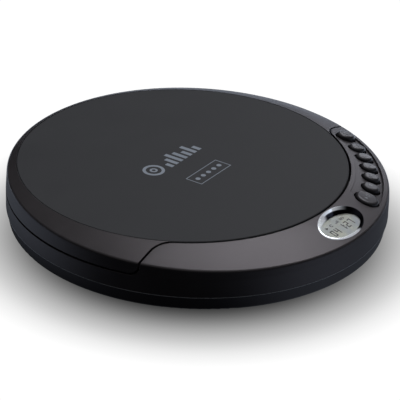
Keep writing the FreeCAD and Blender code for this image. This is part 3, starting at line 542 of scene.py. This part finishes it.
def make_lid_inside(materials):
    """Two stiffening rings under the lid, with spokes between them."""
    ribs = annulus(0, WELL_Y, RIB_INNER_R, RIB_INNER_R + RIB_RING_T)
    ribs += annulus(0, WELL_Y, RIB_OUTER_R, RIB_OUTER_R + RIB_RING_T, steps=72)
    near = RIB_INNER_R + RIB_RING_T + RIB_GAP
    far = RIB_OUTER_R - RIB_GAP
    for i in range(RIB_COUNT):
        a = 2 * math.pi * i / RIB_COUNT
        spoke = [turned(along, side, a) for along, side in
                 ((near, RIB_HALF), (near, -RIB_HALF), (far, -RIB_HALF), (far, RIB_HALF))]
        ribs.append([(u, WELL_Y + v) for u, v in spoke])
    relief("lid_ribs", ribs, beneath(LID_UNDER_Z), 0.0, RIB_DEPTH, materials["inner"], "lid")


def make_hub_pad(materials):
    pad = annulus(0, WELL_Y, 10.2, 14.0)
    relief("hub_pad", pad, level(HUB_FLANGE_Z), 0.0, PAD_T, materials["rubber"], "spindle")


def make_underside(materials):
    """A blank rating plate with rounded corners."""
    w, h = LABEL_HALF[0] - LABEL_CORNER, LABEL_HALF[1] - LABEL_CORNER
    outline = []
    for x, y, start in ((w, h, 0), (-w, h, 90), (-w, -h, 180), (w, -h, 270)):
        for i in range(7):
            a = math.radians(start + 15 * i)
            outline.append((x + LABEL_CORNER * math.cos(a), LABEL_Y + y + LABEL_CORNER * math.sin(a)))
    relief("blank_label", [outline], beneath(BASE_Z), 0.0, LABEL_T, materials["label"], "case")


def make_seam_bead(materials):
    """Fine rounded lip along the top of the bottom case, coloured light as a painted highlight on top of the
    light its round catches.
    """
    verts, faces = [], []
    for i in range(BEAD_STEPS):
        a = 2 * math.pi * i / BEAD_STEPS
        this, after = i * BEAD_SIDES, (i + 1) % BEAD_STEPS * BEAD_SIDES
        for j in range(BEAD_SIDES):
            b = 2 * math.pi * j / BEAD_SIDES
            out = BEAD_AT[0] + BEAD_R * math.cos(b)
            up = BEAD_AT[1] + BEAD_R * math.sin(b)
            verts.append((out * math.cos(a) * MM, out * math.sin(a) * MM, up * MM))
            k = (j + 1) % BEAD_SIDES
            faces.append([this + j, after + j, after + k, this + k])
    new_piece("seam_bead", verts, faces, materials["lip"], "case").shade_smooth()


# ---- floor, lights and camera ------------------------------------------------------------
FLOOR_HALF = 3.0
AWAY = (0.83, 0.55, 0.0)                  # from the camera towards the object's far side
RIGHT = (0.565, -0.825, 0.0)              # the camera's right
# the contact shadow: radii in metres, then how bright the floor is at each
SHADOW_NEAR = (0.053, 0.088, 0.03, 0.74)
SHADOW_FAR = (0.076, 0.100, 0.0, 0.31)
# the table's glow in the object's gloss, by how far a ray runs towards GLOW_WAY, and less of it
# where the view is grazing
GLOW_WAY = (1.0, 0.35, 0.0)
GLOW = (-0.73, -0.06, 0.0, 0.36)
GLOW_GRAZING = (0.0, 0.9, 1.0, 0.42)
GLOW_COLOUR = (0.84, 0.94, 1.12)
# painted shadow of the case in that glow: none of it close around the case, save on the right
GLOW_SHADOW_IN = (0.056, 0.066, 0.0, 1.0)
GLOW_SHADOW_OUT = (0.070, 0.092, 0.85, 0.0)
GLOW_SHADOW_RIGHT = (0.005, 0.055, 1.0, 0.1)
BACK_GLOW = (0.060, 0.105, 0.0, 1.0)      # behind the object the table fills the shadow side
WORLD_WHITE = 1.03
SKY = (0.30, 1.0, 0.01, 0.34)             # the studio's ceiling as the object sees it, by height
# name, place, side of the square, power and colour
LIGHTS = (
    ("softbox", (0.455, 0.02, 0.89), 0.56, 3.35, (1.0, 1.0, 1.03)),
    ("side_light", (0.85, 0.20, 0.34), 0.30, 0.55, (0.95, 0.97, 1.05)),
)
CAMERA_AT = (-0.6471, -0.4300, 0.4271)
CAMERA_RIGHT = (0.5649, -0.8247, 0.0287)
CAMERA_UP = (0.3739, 0.2867, 0.882)
CAMERA_LENS = 216.0


def mix_shader(tree, factor, first, second):
    node = add(tree, "ShaderNodeMixShader")
    for value, socket in zip((factor, first, second), node.inputs):
        put(tree, value, socket)
    return node.outputs["Shader"]


def camera_only(tree, seen, others):
    """Shader that camera rays see as one thing and every other ray as another."""
    path = add(tree, "ShaderNodeLightPath")
    return mix_shader(tree, path.outputs["Is Camera Ray"], others, seen)


def emission(tree, colour, strength):
    node = add(tree, "ShaderNodeEmission")
    put(tree, colour, node.inputs["Color"])
    put(tree, strength, node.inputs["Strength"])
    return node.outputs["Emission"]


def floor_material():
    """Pale floor: white with a soft contact shadow to the camera, a dim table to the object."""
    material, tree, shader = new_material("floor_white")
    geometry = add(tree, "ShaderNodeNewGeometry")
    place = place_of(tree)
    radius = radius_of(tree, place)
    tint = mix_colour(tree, noise(tree, 6.0), (0.99, 0.99, 0.99), (1.0, 1.0, 1.0))
    bright = calc(tree, "ADD", ramp(tree, radius, *SHADOW_NEAR), ramp(tree, radius, *SHADOW_FAR))
    white = emission(tree, tint, bright)
    from_below = add(tree, "ShaderNodeBsdfTransparent").outputs["BSDF"]
    seen = mix_shader(tree, geometry.outputs["Backfacing"], white, from_below)

    lean = reach(tree, geometry.outputs["Incoming"], tuple(-part for part in GLOW_WAY))
    glow = calc(tree, "MULTIPLY", ramp(tree, lean, *GLOW), ramp(tree, lean, *GLOW_GRAZING))
    # painted shadow of the case, cut out of the table's glow
    glow_shadow = calc(tree, "MULTIPLY", ramp(tree, radius, *GLOW_SHADOW_IN), ramp(tree, radius, *GLOW_SHADOW_OUT))
    glow_shadow = calc(tree, "MULTIPLY", glow_shadow, ramp(tree, reach(tree, place, RIGHT), *GLOW_SHADOW_RIGHT))
    glow = calc(tree, "MULTIPLY", glow, calc(tree, "SUBTRACT", 1.0, glow_shadow))
    behind = ramp(tree, reach(tree, place, AWAY), *BACK_GLOW)
    table = emission(tree, GLOW_COLOUR, calc(tree, "ADD", glow, behind))
    put(tree, camera_only(tree, seen, table), tree.nodes["Material Output"].inputs["Surface"])
    return material


def make_stage():
    corners = [(x * FLOOR_HALF, y * FLOOR_HALF, 0) for x, y in ((-1, -1), (1, -1), (1, 1), (-1, 1))]
    mesh = bpy.data.meshes.new("floor")
    mesh.from_pydata(corners, [], [(0, 1, 2, 3)])
    mesh.materials.append(floor_material())
    floor = bpy.data.objects.new("floor", mesh)
    bpy.context.scene.collection.objects.link(floor)


def make_lights():
    world = bpy.data.worlds.new("studio")
    bpy.context.scene.world = world
    world.use_nodes = True
    tree = world.node_tree
    white = tree.nodes["Background"]
    put(tree, (1.0, 1.0, 1.0), white.inputs["Color"])
    put(tree, WORLD_WHITE, white.inputs["Strength"])
    sky = add(tree, "ShaderNodeBackground")
    way = add(tree, "ShaderNodeTexCoord").outputs["Generated"]
    put(tree, ramp(tree, reach(tree, way, (0.0, 0.0, 1.0)), *SKY), sky.inputs["Strength"])
    mixed = camera_only(tree, white.outputs["Background"], sky.outputs["Background"])
    put(tree, mixed, tree.nodes["World Output"].inputs["Surface"])
    for name, place, size, power, colour in LIGHTS:
        light = bpy.data.lights.new(name, "AREA")
        light.shape = "RECTANGLE"
        light.size = size
        light.size_y = size
        light.energy = power
        light.color = colour
        holder = bpy.data.objects.new(name, light)
        holder.location = place
        holder.rotation_euler = (-Vector(place)).to_track_quat("-Z", "Y").to_euler()
        bpy.context.scene.collection.objects.link(holder)


def make_camera():
    camera = bpy.data.cameras.new("camera")
    camera.sensor_width = 36.0
    camera.lens = CAMERA_LENS
    camera.clip_start = 0.01
    right, up = Vector(CAMERA_RIGHT), Vector(CAMERA_UP)
    turn = Matrix((right, up, right.cross(up).normalized())).transposed()
    holder = bpy.data.objects.new("camera", camera)
    holder.matrix_world = Matrix.Translation(CAMERA_AT) @ turn.to_4x4()
    bpy.context.scene.collection.objects.link(holder)
    bpy.context.scene.camera = holder
    bpy.context.scene.view_settings.view_transform = "Standard"


MATERIALS = make_materials()
paint_nodes(MATERIALS)
make_display(MATERIALS)
make_key_icons(MATERIALS)
make_panel_print(MATERIALS)
make_lid_inside(MATERIALS)
make_hub_pad(MATERIALS)
make_underside(MATERIALS)
make_seam_bead(MATERIALS)
make_stage()
make_lights()
make_camera()
